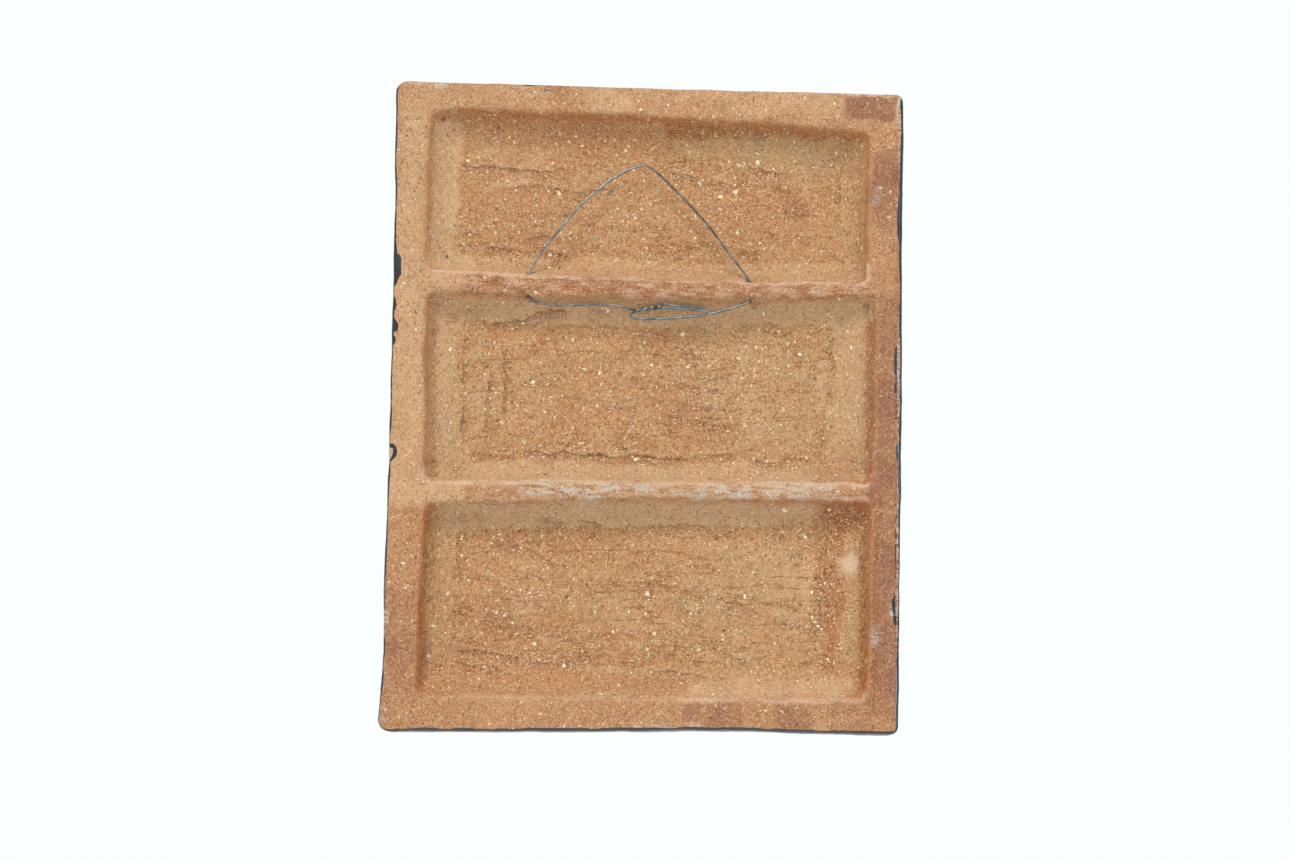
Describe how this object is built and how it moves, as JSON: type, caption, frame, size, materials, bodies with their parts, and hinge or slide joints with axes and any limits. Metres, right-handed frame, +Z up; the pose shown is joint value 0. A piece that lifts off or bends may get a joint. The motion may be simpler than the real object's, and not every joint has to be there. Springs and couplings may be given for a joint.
{
  "type": "decorative wall plaque",
  "caption": "Rectangular stoneware wall plaque with a hollowed, ribbed back and a steel hanging wire tied through its upper rib.",
  "frame": {"origin": "the top of the hanging wire's loop, where the nail or hook bears", "axes": "+Z up as it hangs; the hollowed back, which the picture shows, faces -Y, towards the wall; the glazed front faces +Y; +X is to the right when looking at the back"},
  "size_m": [0.3009, 0.03, 0.3832],
  "materials": {
    "clay": "bare, coarse tan clay with cream grog on the hollowed back; dark charcoal glaze on the front and round the edges",
    "wire": "drawn steel wire, dull grey"
  },
  "bodies": {
    "root": {"plaque": "clay", "hanging_wire": "wire"}
  },
  "joints": []
}
